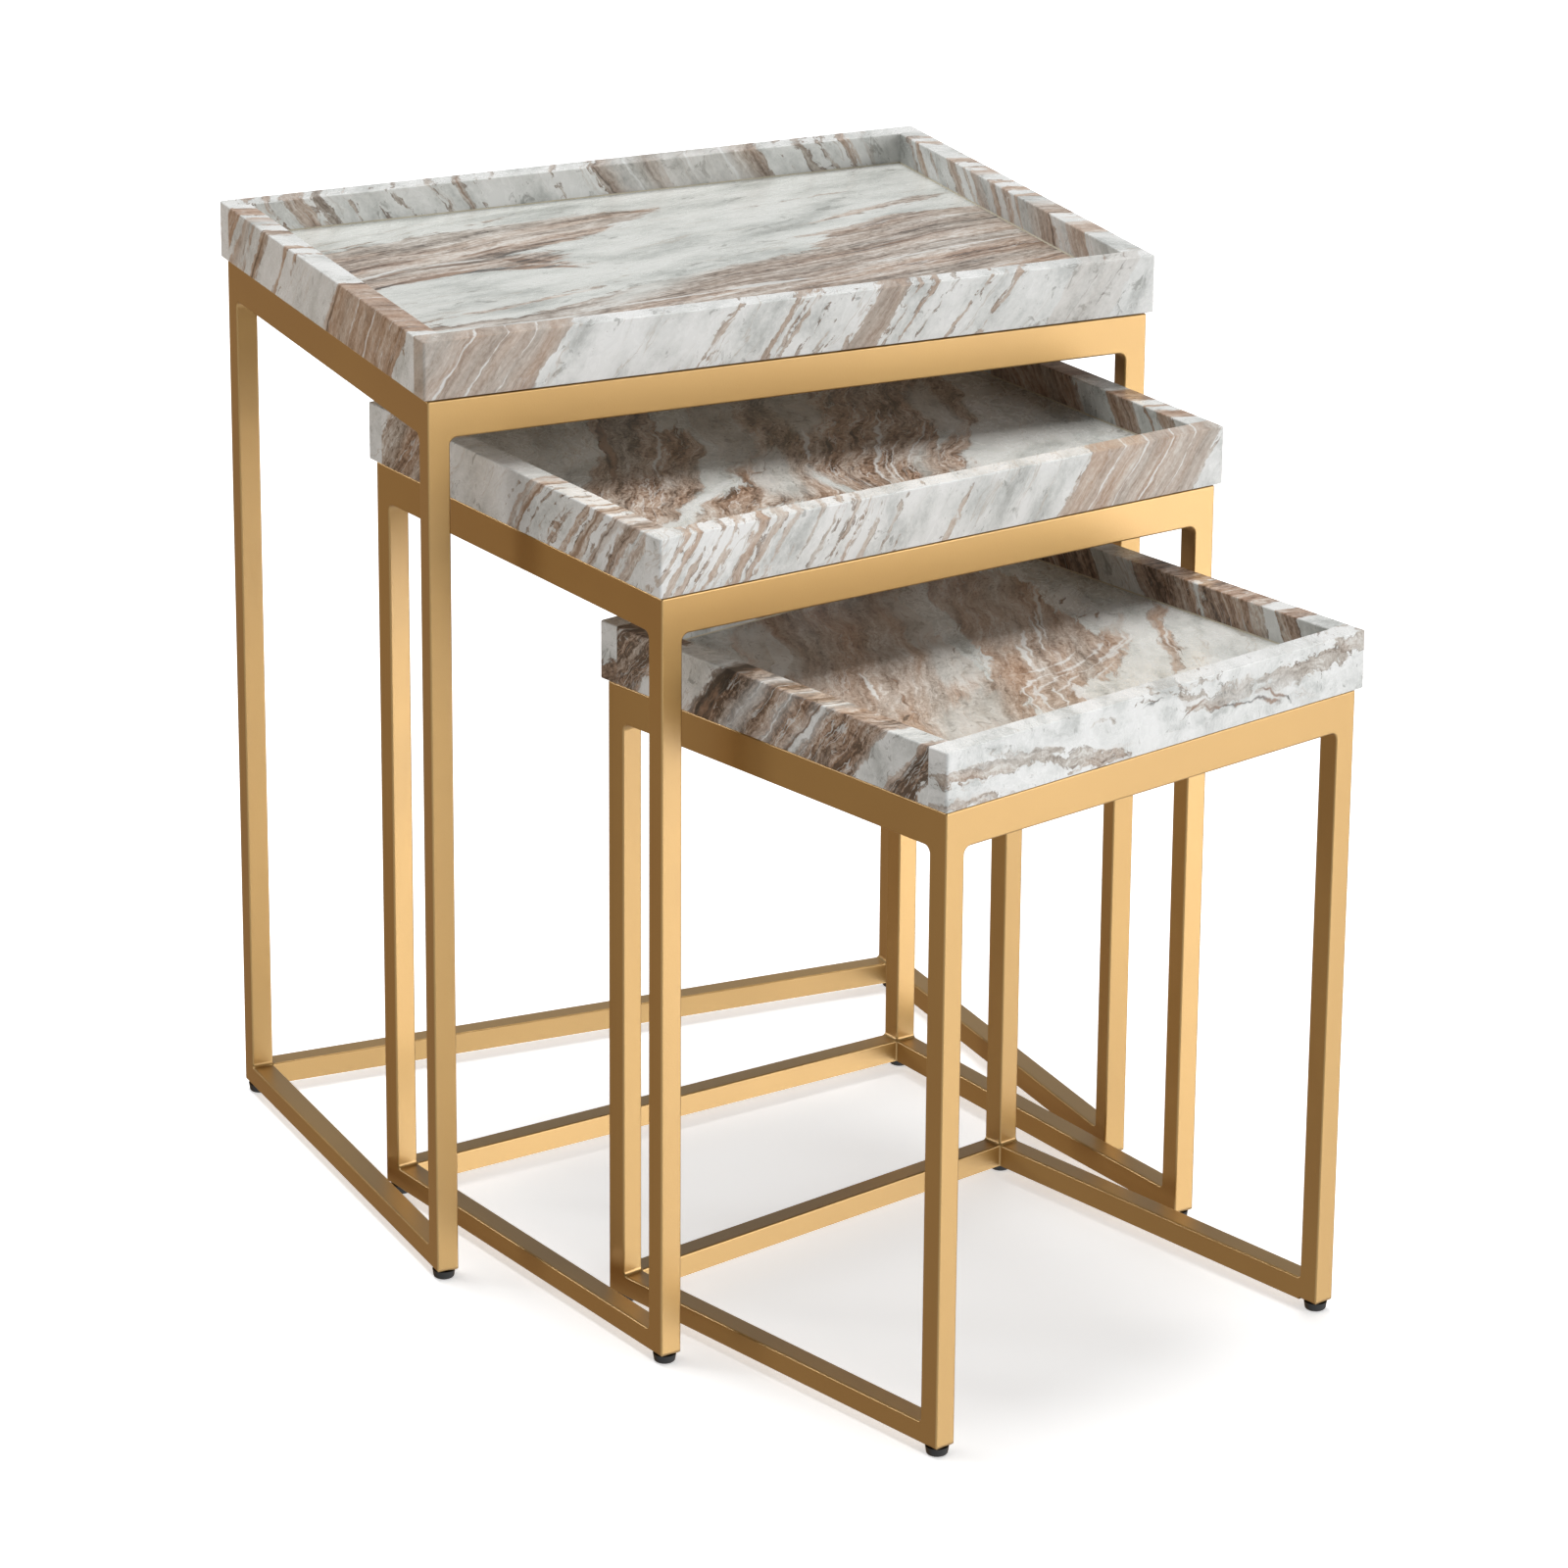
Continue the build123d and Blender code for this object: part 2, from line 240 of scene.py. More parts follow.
def insert_steel():
    material, graph, shader = new_material("zinc_plated_insert", {"Metallic": 1.0})
    ring = graph.drawn_noise(graph.place(), (60.0, 60.0, 900.0), roughness=0.6)
    roughness = graph.between(ring, 0.2, 0.8, to_low=0.28, to_high=0.42)
    finish_surface(graph, shader, graph.mix(ring, *ZINC), roughness, ring, distance=0.00004)
    return material


def clear_pad():
    material, graph, shader = new_material("clear_rubber_pad", {"IOR": 1.45, "Transmission Weight": 0.55})
    haze = graph.noise(graph.place(), scale=250.0, detail=3.0, roughness=0.6)
    roughness = graph.between(haze, 0.2, 0.8, to_low=0.25, to_high=0.40)
    finish_surface(graph, shader, graph.mix(haze, *CLEAR_RUBBER), roughness)
    return material


# ---------------------------------------------------------------- the stone

# Reflectances of the stone's parts. The browns go from the darkest lamina to the palest.
WHITE = (0.84, 0.84, 0.825)
PALE = (0.75, 0.755, 0.735)
CLOUD = (0.60, 0.61, 0.59)
GREY = (0.45, 0.455, 0.435)
SPECK = (0.25, 0.245, 0.225)
VEIN = (0.46, 0.39, 0.32)
VEIL = (0.84, 0.85, 0.825)
CHARCOAL = (0.045, 0.038, 0.032)
WARM = (
    (0.115, 0.068, 0.042),
    (0.30, 0.185, 0.122),
    (0.44, 0.30, 0.215),
    (0.57, 0.445, 0.355),
    (0.72, 0.66, 0.59),
)
COOL = (
    (0.10, 0.085, 0.07),
    (0.26, 0.22, 0.185),
    (0.42, 0.37, 0.32),
    (0.55, 0.505, 0.455),
    (0.72, 0.705, 0.665),
)
LAMINA_STOPS = (0.28, 0.39, 0.50, 0.61, 0.74)
CLOUD_STOPS = ((0.26, GREY), (0.37, CLOUD), (0.47, PALE), (0.58, WHITE))

# The stone's textures: how often each changes per metre along, across and through the bedding, then its
# detail, roughness and distortion.
TEXTURES = {
    "broad": ((6.0, 42.0, 9.0), 3.0, 0.55, 0.0),
    "streak": ((18.0, 140.0, 24.0), 5.0, 0.65, 0.0),
    "hair": ((90.0, 620.0, 120.0), 3.0, 0.65, 0.0),
    "cloud": ((20.0, 38.0, 22.0), 6.0, 0.62, 0.0),
    "grain": ((300.0, 380.0, 320.0), 4.0, 0.7, 0.0),
    "knot": ((80.0, 130.0, 90.0), 5.0, 0.65, 0.8),
    "fleck": ((130.0, 190.0, 140.0), 5.0, 0.7, 0.5),
}
# What the textures add to the laminae's tone, and the metres by which they fray a zone's edge.
LAMINA = {"streak": 0.75, "hair": 0.34, "grain": 0.42, "cloud": 0.30}
FRAY = {"broad": 0.016, "streak": 0.022, "knot": 0.014, "hair": 0.006}
TEAR = 0.060  # metres by which the fibres pull the zones' ends to and fro along the bedding


def group_tree(name, inputs, outputs):
    """A node group with those sockets, and the sockets inside it by name."""
    tree = bpy.data.node_groups.new(name, "ShaderNodeTree")
    for title, kind in inputs.items():
        tree.interface.new_socket(title, in_out="INPUT", socket_type=f"NodeSocket{kind}")
    for title, kind in outputs.items():
        tree.interface.new_socket(title, in_out="OUTPUT", socket_type=f"NodeSocket{kind}")
    graph = Graph(tree)
    return tree, graph, graph.node("NodeGroupInput").outputs, graph.node("NodeGroupOutput").inputs


def wander(graph, vector, scale, detail):
    """A wandering offset of about half a unit each way."""
    colour = graph.noise(vector, scale, detail, roughness=0.55, output="Color")
    return graph.vector("SUBTRACT", colour, (0.5, 0.5, 0.5))


def bedding_group():
    """Turns a place on the stone into three: Bed, its place along and across the bedding; Calm, the place as
    the bedding wanders; and Torn, that place pulled to and fro along the bedding as well.

    Wave and Ripple are how far the bedding wanders over 100 mm and over 20 mm, and Draw how short its
    streaks are.
    """
    inputs = dict.fromkeys(("Place", "Seed"), "Vector")
    inputs.update(dict.fromkeys(("Angle", "Wave", "Ripple", "Draw"), "Float"))
    outputs = dict.fromkeys(("Bed", "Calm", "Torn"), "Vector")
    tree, graph, given, out = group_tree("bedding", inputs, outputs)
    seeded = graph.vector("ADD", given["Place"], given["Seed"])
    wave = graph.scaled(wander(graph, seeded, scale=9.0, detail=1.0), given["Wave"])
    ripple = graph.scaled(wander(graph, seeded, scale=48.0, detail=3.0), given["Ripple"])
    drift = graph.vector("ADD", wave, ripple)
    unturn = graph.math("MULTIPLY", given["Angle"], -1.0)
    bed = graph.rotated(graph.vector("ADD", seeded, drift), unturn)
    bed = graph.vector("MULTIPLY", bed, graph.join(given["Draw"], 1.0, 1.0))
    fibre = graph.drawn_noise(bed, (14.0, 230.0, 20.0), detail=4.0, roughness=0.6)
    pull = graph.math("DIVIDE", graph.swing(fibre, TEAR), given["Draw"])
    pull = graph.rotated(graph.join(pull, 0.0, 0.0), given["Angle"])
    calm = graph.vector("ADD", given["Place"], drift)
    graph.feed(out["Bed"], bed)
    graph.feed(out["Calm"], calm)
    graph.feed(out["Torn"], graph.vector("ADD", calm, pull))
    return tree


def added_up(graph, textures, shares):
    """The textures' swings about their middles, added up in those shares."""
    total = 0.0
    for name, share in shares.items():
        total = graph.swing(textures[name], share, total)
    return total


def ridge(graph, bed, often, width, detail=3.0):
    """Thin wandering lines, 1 on the line."""
    off_line = graph.math("ABSOLUTE", graph.math("SUBTRACT", graph.drawn_noise(bed, often, detail), 0.5))
    return graph.between(off_line, width, 0.0)


def soft_edge(graph, reach, low, high, blur):
    """0 outside a zone and 1 inside it, its edge wider by the blur on both sides."""
    return graph.between(reach, graph.math("SUBTRACT", low, blur), graph.math("ADD", blur, high))


def brown_stone(graph, given, textures):
    """The brown's laminae, warm in places and fawn in others, with dark seams, white threads and flecks."""
    bed, contrast = given["Bed"], given["Contrast"]
    tone = graph.math("ADD", given["Tone"], 0.5)
    lamina = graph.math("MULTIPLY_ADD", added_up(graph, textures, LAMINA), contrast, tone)
    warmth = graph.swing(textures["broad"], 3.0, given["Warm"], clamp=True)
    cool_ramp, warm_ramp = (graph.ramp(lamina, list(zip(LAMINA_STOPS, browns))) for browns in (COOL, WARM))
    colour = graph.mix(warmth, cool_ramp, warm_ramp)
    lined = graph.math("MULTIPLY", contrast, 0.42, clamp=True)
    seam = ridge(graph, bed, (5.0, 75.0, 9.0), width=0.016)
    seam = graph.math("MULTIPLY", seam, graph.between(textures["knot"], 0.40, 0.58))
    colour = graph.laid_on(colour, WARM[0], seam, lined)
    thread = ridge(graph, bed, (9.0, 105.0, 12.0), width=0.018)
    thread = graph.math("MULTIPLY", thread, graph.between(textures["broad"], 0.44, 0.58))
    colour = graph.laid_on(colour, PALE, thread, lined)
    flecked = graph.math("MULTIPLY", graph.math("SUBTRACT", contrast, 0.5), 0.75, clamp=True)
    pale_fleck = graph.math("MULTIPLY", graph.between(textures["fleck"], 0.58, 0.68), flecked)
    dark_fleck = graph.math("MULTIPLY", graph.between(textures["fleck"], 0.43, 0.34), flecked)
    colour = graph.laid_on(colour, COOL[4], pale_fleck, 0.55)
    return graph.laid_on(colour, WARM[0], dark_fleck, 0.75)


def white_stone(graph, given, textures, in_grey):
    """Soft clouds, greyer in the grey zones, with thin veins and specks here and there."""
    cloudy = graph.swing(textures["grain"], 0.22, textures["cloud"])
    cloudy = graph.math("MULTIPLY_ADD", in_grey, -0.050, cloudy)
    colour = graph.ramp(cloudy, CLOUD_STOPS)
    vein = ridge(graph, given["Bed"], (8.0, 58.0, 10.0), width=0.016, detail=5.0)
    vein = graph.math("MULTIPLY", vein, graph.between(textures["broad"], 0.47, 0.60))
    colour = graph.laid_on(colour, VEIN, vein, 0.50)
    patchy = graph.between(textures["cloud"], 0.56, 0.44, to_high=0.03)
    patchy = graph.math("MULTIPLY_ADD", in_grey, 0.06, patchy)
    speck = graph.between(graph.math("ADD", textures["knot"], patchy), 0.62, 0.72)
    colour = graph.laid_on(colour, SPECK, speck, 0.60)
    return graph.mix(given["Veil"], colour, graph.mix(1.0, colour, VEIL, blend="MULTIPLY"))


def zoned_stone(graph, given, textures):
    """The stone's colour with its zones laid on it, frayed along the bedding, and where it is brown."""
    in_grey = graph.between(given["Grey"], -0.008, 0.012)
    clear = white_stone(graph, given, textures, in_grey)
    faded = graph.mix(graph.math("MULTIPLY", in_grey, 0.72), brown_stone(graph, given, textures), clear)
    fray = added_up(graph, textures, FRAY)
    reach = graph.math("ADD", given["Brown"], fray)
    brown = soft_edge(graph, reach, -0.0008, 0.0014, given["Soft"])
    colour = graph.mix(brown, clear, faded)
    edge = graph.between(graph.math("ABSOLUTE", graph.math("SUBTRACT", reach, 0.0006)), 0.0012, 0.0)
    broken = graph.between(graph.math("SUBTRACT", textures["knot"], in_grey), 0.46, 0.60)
    colour = graph.laid_on(colour, WARM[0], graph.math("MULTIPLY", edge, broken), 0.62)
    light = graph.math("MULTIPLY_ADD", fray, 0.22, given["Light"])
    light = soft_edge(graph, light, -0.0005, 0.0007, graph.math("MULTIPLY", given["Soft"], 0.25))
    colour = graph.laid_on(colour, graph.mix(0.5, clear, WHITE), light, 0.80)
    dark = graph.between(graph.math("MULTIPLY_ADD", fray, 0.20, given["Dark"]), -0.0005, 0.0012)
    char = graph.mix(graph.between(textures["streak"], 0.40, 0.60), CHARCOAL, WARM[1])
    return graph.laid_on(colour, char, dark, 0.85), brown


def stone_group():
    """The stone's colour, roughness and relief from its place in the bedding and how deep it is in each zone.

    Brown, Dark, Grey and Light are signed distances in metres, positive inside such a zone. Warm, Tone and
    Contrast are the brown's own: 0 to 1 from fawn to red-brown, darker below 0, and 1 for the usual contrast
    of its laminae. Veil dims the white stone. Soft is how far, in metres, the brown zones' edges blur; the
    light zones' blur a quarter as far.
    """
    kinds = ("Brown", "Dark", "Grey", "Light", "Warm", "Tone", "Contrast", "Veil", "Soft")
    inputs = {"Bed": "Vector", **dict.fromkeys(kinds, "Float")}
    outputs = {"Color": "Color", "Roughness": "Float", "Height": "Float"}
    tree, graph, given, out = group_tree("banded_stone", inputs, outputs)
    bed = given["Bed"]
    textures = {name: graph.drawn_noise(bed, *spec) for name, spec in TEXTURES.items()}
    colour, brown = zoned_stone(graph, given, textures)
    pin = graph.between(graph.voronoi(graph.stretched(bed, (1.0, 1.6, 1.0)), scale=210.0), 0.12, 0.05)
    pin = graph.math("MULTIPLY", pin, graph.between(textures["knot"], 0.50, 0.60))
    polish = graph.between(textures["knot"], 0.3, 0.7, to_low=0.22, to_high=0.32)
    relief = graph.math("MULTIPLY", textures["hair"], 0.06)
    graph.feed(out["Color"], graph.laid_on(colour, WARM[0], pin, 0.6))
    graph.feed(out["Roughness"], graph.math("MULTIPLY_ADD", graph.math("ADD", pin, brown), 0.05, polish))
    graph.feed(out["Height"], graph.math("MULTIPLY_ADD", pin, -1.0, relief))
    return tree


# ---------------------------------------------------------------- the slabs

MM_PER_M = 1000
SKEW = -0.35  # how far the strips' bands lean along them, for each metre into the stone
BEDDING_USUAL = {"wave": 0.02, "ripple": 0.006, "draw": 1.0}
STONE_USUAL = {"warm": 0.5, "tone": 0.0, "contrast": 1.0, "veil": 0.15, "soft": 0.0}


def lens(graph, across, spec):
    """Signed distance into a lens-shaped streak.

    The spec is its middle, its slope in degrees, its bend per metre, its half width and its half length,
    places and lengths in mm.
    """
    a, b = across
    middle_a, middle_b, slope, bend, half_width, half_length = spec
    run = graph.math("SUBTRACT", a, middle_a / MM_PER_M)
    square = graph.math("MULTIPLY", run, run)
    line = graph.math("SUBTRACT", b, middle_b / MM_PER_M)
    line = graph.math("MULTIPLY_ADD", run, -math.tan(math.radians(slope)), line)
    line = graph.math("MULTIPLY_ADD", square, -bend, line)
    widest = half_width / MM_PER_M
    taper = graph.math("MULTIPLY_ADD", square, -widest / (half_length / MM_PER_M) ** 2, widest)
    return graph.math("SUBTRACT", taper, graph.math("ABSOLUTE", line))


def band(graph, along, spec):
    """Signed distance into a band across a strip: (start, end) in mm along it, at its middle height."""
    start, end = (edge / MM_PER_M for edge in spec)
    from_middle = graph.math("ABSOLUTE", graph.math("SUBTRACT", along, (start + end) / 2))
    return graph.math("SUBTRACT", (end - start) / 2, from_middle)


def deepest(graph, distances):
    """The largest of the distances, for the union of the zones, or far outside where there are none."""
    if not distances:
        return -1.0
    found = distances[0]
    for distance in distances[1:]:
        found = graph.math("MAXIMUM", found, distance)
    return found


def seen_face(size, side):
    """Where the face is that a strip's zones are given on: outside on the front and left, else inside."""
    half_width, half_depth = HALF_TRAY[size]
    inside = {"back": half_depth - RIM, "right": half_width - RIM}
    return {"front": -half_depth, "left": -half_width, **inside}[side]


def on_slab(graph, size, side):
    """The place on a slab: on a floor as the table has it, and on a strip along it, up it and into it."""
    local = graph.seen_from(graph.place(), place_of(size), (0.0, 0.0, TURN[size]))
    if side == "floor":
        return local
    x, y, z = graph.split(local)
    along, into = (x, y) if side in ("front", "back") else (graph.math("MULTIPLY", y, -1.0), x)
    into = graph.math("SUBTRACT", into, seen_face(size, side))
    return graph.join(graph.math("MULTIPLY_ADD", into, SKEW, along), z, into)


def zone(graph, place, along, specs):
    """Signed distance into the zones of one kind, lenses of six values and bands of two."""
    lenses = [lens(graph, (place[0], place[1]), spec) for spec in specs if len(spec) == 6]
    bands = [band(graph, along, spec) for spec in specs if len(spec) == 2]
    return deepest(graph, lenses + bands)


def marble(name, size, side, look, bedding, stone):
    """One slab's marble. side is floor, front, back, left or right; look gives its bedding and its zones."""
    material, graph, shader = new_material(name, {"IOR": 1.5, "Specular IOR Level": 0.5})
    turn = math.radians(look["angle"])
    inputs = {"Place": on_slab(graph, size, side), "Seed": look["seed"], "Angle": turn}
    inputs.update({kind.title(): look.get(kind, usual) for kind, usual in BEDDING_USUAL.items()})
    laid = graph.group(bedding, inputs)
    torn, calm = graph.split(laid["Torn"]), graph.split(laid["Calm"])
    lean = 0.0 if side == "floor" else math.cos(turn) / math.sin(turn)
    along = graph.math("MULTIPLY_ADD", graph.math("SUBTRACT", torn[1], STRIP_MIDDLE), -lean, torn[0])
    inputs = {"Bed": laid["Bed"]}
    for kind, place in (("brown", torn), ("dark", calm), ("grey", torn), ("light", calm)):
        inputs[kind.title()] = zone(graph, place, along, look.get(kind, []))
    inputs.update({kind.title(): look.get(kind, usual) for kind, usual in STONE_USUAL.items()})
    made = graph.group(stone, inputs)
    colour, roughness, height = made["Color"], made["Roughness"], made["Height"]
    finish_surface(graph, shader, colour, roughness, height, distance=0.0003, strength=0.6)
    return material


# Each slab's bedding and zones, as lens() and band() read them. Floors: millimetres from the table's middle.
# Strips: millimetres along the strip from its middle, left to right for the front and back, back to front for
# the sides.
LOOKS = {
    "large_tray_floor": {
        "veil": 1.0,
        "angle": 12,
        "wave": 0.018,
        "ripple": 0.004,
        "draw": 0.6,
        "seed": (0.0, 0.0, 0.0),
        "warm": 0.38,
        "contrast": 1.45,
        "brown": [
            (-225, 53, 13.8, 0.0, 50, 262),
            (-140, 50, 0, -7.4, 26, 76),
            (-98, 41, 8, 0.0, 21, 36),
            (-145, 120, 10, 0.0, 1.5, 75),
            (240, -70, 4, 0.0, 76, 440),
            (240, 9, -4, 0.0, 34, 148),
            (135, 2, 32, 0.0, 30, 62),
            (-150, -88, 2, 0.0, 7, 96),
            (195, 72, 17, 0.0, 6, 62),
            (-120, -52, 14, 0.0, 1, 60),
            (165, 106, 4, 0.0, 1, 40),
        ],
        "dark": [
            (-140, 25.5, 0, -3.3, 3.8, 92),
            (-94, 19, -14, -2.0, 5.2, 30),
            (-192, 36.5, 20, 0.0, 2.6, 30),
            (-140, 45.5, 3, -1.5, 3.0, 38),
            (-92, 36, -32, 0.0, 7.0, 15),
            (-68, 52, -40, 0.0, 1.8, 8),
            (-108, 68, 14, 0.0, 1.8, 20),
            (-30, 112, 11, 0.0, 1.0, 60),
            (10, 118, -8, 0.0, 1.8, 24),
            (150, -18, 14, 0.0, 1.6, 90),
            (60, -60, 10, 0.0, 1.4, 100),
            (190, -68, 8, 0.0, 1.2, 60),
        ],
        "grey": [(20, -5, 35, 0.0, 24, 120), (110, 60, 30, 0.0, 20, 80), (-150, -40, 20, 0.0, 16, 60)],
        "light": [
            (-194, 41, 20, 0.0, 1.8, 26),
            (-138, 51, 3, -1.5, 1.8, 30),
            (-150, -96, 3, 0.0, 1.4, 60),
            (25, -77, 5, 0.0, 3.4, 30),
            (160, -48, 9, 0.0, 1.2, 70),
            (200, -28, 9, 0.0, 1.0, 50),
            (-60, -84, 4, 0.0, 1.4, 60),
        ],
    },
    "large_rim_front": {
        "angle": 53,
        "wave": 0.014,
        "seed": (1.3, 0.2, 0.0),
        "warm": 0.42,
        "tone": 0.04,
        "contrast": 0.62,
        "veil": 0.0,
        "brown": [
            (-300, -164), (-159, -157.5), (-57, -53.5), (-16, -9), (-5, -3), (0, 2), (13, 14.5),
            (27, 28), (44, 67), (72, 73.5), (84, 85), (95, 99), (121, 122), (143, 144.5), (186, 236),
        ],
        "grey": [(-165, -148), (-112, -104), (176, 262)],
        "light": [(-232, -230.5), (-211, -209.5), (-190, -189)],
        "dark": [(204, 205), (219, 220.2)],
    },
    "large_rim_left": {
        "angle": 55,
        "wave": 0.016,
        "seed": (2.1, 0.7, 0.3),
        "warm": 1.0,
        "tone": 0.0,
        "contrast": 0.95,
        "brown": [(-177, -158), (-150, -136), (-129, -127), (-116, -100), (-71, -64), (-52, -51), (21, 144)],
        "dark": [(-112, -108), (23, 26)],
        "light": [(60, 61), (88, 89.5), (117, 118)],
        "grey": [(-148, -128), (0, 20)],
    },
    "large_rim_back": {
        "angle": 125,
        "wave": 0.024,
        "ripple": 0.008,
        "seed": (0.4, 2.2, 0.1),
        "warm": 0.15,
        "tone": 0.0,
        "contrast": 1.0,
        "brown": [
            (-232, -228), (-215, -213), (-203, -190), (-185, -172), (-160, -158.5), (-140, -138),
            (-126, -121), (-98, -96.5), (-82, -75), (-66, -62), (-52, -50.5), (-8, -6.5), (22, 146),
            (160, 162), (170, 177), (186, 188), (196, 200), (214, 217),
        ],
        "grey": [(-50, -30), (34, 60), (66, 128), (206, 224)],
        "dark": [(-79, -77.6), (26, 28)],
        "light": [(46, 48), (90, 91.5), (118, 120)],
    },
    "large_rim_right": {
        "angle": 125,
        "wave": 0.022,
        "ripple": 0.009,
        "seed": (3.4, 1.1, 0.6),
        "warm": 0.75,
        "tone": 0.07,
        "contrast": 1.0,
        "brown": [
            (-140, -136), (-127, -119), (-104, -102), (-90, -87), (-76, -61), (-50, -48), (-42, -28),
            (-12, -10), (5, 12), (24, 26), (40, 84), (92, 94), (102, 128),
        ],
        "dark": [(58, 60), (76, 79)],
        "grey": [(-36, -22), (30, 50), (84, 104)],
    },
    "medium_tray_floor": {
        "veil": 0.8,
        "angle": 56,
        "wave": 0.045,
        "ripple": 0.012,
        "draw": 1.1,
        "seed": (0.9, 0.3, 1.2),
        "soft": 0.003,
        "warm": 0.60,
        "tone": -0.03,
        "contrast": 1.5,
        "brown": [
            (-122, -10, 40, 0.0, 58, 84),
            (-95, 40, 60, 0.0, 45, 75),
            (-106, -83, 33, 0.0, 19, 44),
            (-44, -86, 52, 0.0, 19, 20),
            (0, 40, 57, 0.0, 75, 90),
            (50, -20, 58, 0.0, 92, 66),
            (78, -68, 58, 0.0, 16, 24),
            (98, -46, 57, 0.0, 6, 20),
            (2, -35, 62, 0.0, 22, 28),
            (-8, -84, 56, 0.0, 34, 26),
            (140, 90, 58, 0.0, 90, 60),
        ],
        "dark": [
            (-52, -90, 55, 0.0, 3.0, 9),
            (-44, -95, 50, 0.0, 2.2, 8),
            (12, -26, 64, 0.0, 4, 13),
            (36, -20, 64, 0.0, 4, 15),
            (-56, -37, 10, 0.0, 1.6, 6),
            (-44, -28, 50, 0.0, 1.2, 12),
            (-95, -2, 25, 0.0, 1.2, 26),
            (-20, 0, 35, 0.0, 1.2, 22),
            (-110, 50, 58, 0.0, 8, 40),
        ],
        "grey": [
            (-45, -40, 50, 0.0, 30, 34),
            (-130, 76, 58, 0.0, 30, 34),
            (-22, -66, 56, 0.0, 12, 16),
            (54, -72, 58, 0.0, 12, 22),
            (-20, 50, 56, 0.0, 34, 60),
            (45, 66, 58, 0.0, 26, 40),
            (120, 20, 58, 0.0, 30, 34),
        ],
        "light": [
            (-116, -66, 33, 0.0, 5, 42),
            (20, -74, 58, 0.0, 1.7, 26),
            (29, -70, 60, 0.0, 0.9, 22),
            (36, -66, 60, 0.0, 1.5, 26),
            (50, -20, 62, 0.0, 2.0, 30),
            (66, -40, 58, 0.0, 1.3, 30),
            (6, -6, 64, 0.0, 4.0, 14),
            (147, -5, 72, 0.0, 18, 9),
            (-86, 30, 60, 0.0, 2.0, 26),
        ],
    },
    "medium_rim_front": {
        "angle": 55,
        "wave": 0.016,
        "seed": (1.9, 2.6, 0.4),
        "warm": 0.50,
        "tone": 0.08,
        "contrast": 0.7,
        "veil": 0.0,
        "brown": [
            (-210, -206), (-200, -195), (-189, -187), (-181, -176.5), (-170, -169), (-153, -147),
            (-142, -137), (-129, -127), (-118, -117), (-110, -107.5), (-99, -94), (-85, -82),
            (-74, -73), (-60, -58), (-45, -43), (-33, -32), (8, 9), (97, 206),
        ],
        "grey": [(-126, -114), (34, 52)],
        "light": [(120, 121), (140, 141.2), (163, 164), (182, 183)],
    },
    "medium_rim_left": {
        "angle": 52,
        "wave": 0.018,
        "ripple": 0.009,
        "seed": (0.6, 3.3, 0.9),
        "warm": 0.6,
        "tone": 0.0,
        "contrast": 1.4,
        "brown": [
            (-157, -92), (2, 3), (11, 14.5), (22, 26), (35, 38.5), (45, 51), (57, 58.5), (62, 67),
            (75, 80), (86, 96), (103, 113), (119, 132), (139, 147), (154, 157),
        ],
        "grey": [(-60, -40), (12, 20), (108, 118), (132, 142)],
        "dark": [(24.3, 26), (64, 65), (90, 92.5), (107, 109), (127, 129)],
    },
    "medium_rim_back": {
        "angle": 55,
        "wave": 0.016,
        "seed": (2.8, 0.5, 2.0),
        "warm": 0.3,
        "tone": 0.05,
        "brown": [
            (-200, -100), (-30, -28), (26, 33), (62, 63.5), (80, 84), (98, 103), (120, 121.5), (158, 182),
        ],
        "grey": [(-60, 20), (120, 160)],
    },
    "medium_rim_right": {
        "angle": 125,
        "wave": 0.018,
        "ripple": 0.009,
        "seed": (3.9, 2.9, 0.2),
        "warm": 0.9,
        "brown": [(-130, -122), (-60, 40), (78, 108), (120, 126), (134, 152)],
        "dark": [(96, 98)],
        "grey": [(40, 76)],
    },
    "small_tray_floor": {
        "veil": 0.75,
        "angle": 54,
        "wave": 0.030,
        "ripple": 0.012,
        "draw": 1.1,
        "seed": (5.2, 1.4, 0.8),
        "soft": 0.002,
        "warm": 0.55,
        "tone": 0.03,
        "contrast": 1.0,
        "brown": [
            (-90, -30, 50, 0.0, 165, 112),
            (-30, 80, 54, 0.0, 90, 100),
            (14, -46, 14, -4.0, 36, 60),
            (70, -34, 27, 2.0, 13, 54),
            (62, 34, 52, 0.0, 92, 62),
            (84, -82, 46, 0.0, 6, 20),
            (103, -61, 40, 0.0, 7, 17),
            (119, -45, 52, 0.0, 6, 17),
            (131, -26, 58, 0.0, 7, 12),
            (143, -14, 38, 0.0, 5, 16),
            (-14, -84, 55, 0.0, 30, 26),
        ],
        "dark": [
            (-75, 6, 62, 0.0, 1.8, 5),
            (-91, -24, 62, 0.0, 2.6, 7),
            (-117, -57, 40, 0.0, 2.2, 5),
            (112, 11, 40, 0.0, 1.6, 5),
            (104, 16, 10, 0.0, 1.2, 4),
            (118, 48, 30, 0.0, 1.6, 5),
            (108, 60, 50, 0.0, 1.2, 5),
            (104, -66, 50, 0.0, 1.4, 10),
            (-2, 22, 40, 0.0, 1.2, 5),
        ],
        "grey": [
            (-15, 6, 40, 0.0, 34, 38),
            (-80, -80, 26, 0.0, 24, 50),
            (-52, -60, 45, 0.0, 12, 30),
            (118, 30, 60, 0.0, 40, 26),
            (20, 90, 52, 0.0, 30, 40),
            (-96, 96, 52, 0.0, 30, 34),
        ],
        "light": [
            (-26, -80, 66, -30.0, 2.0, 10),
            (-19, -83, 66, -30.0, 2.4, 11),
            (-11, -86, 66, -30.0, 2.4, 11),
            (0, -88, 64, -26.0, 2.6, 11),
            (16, -90, 60, -20.0, 3.2, 11),
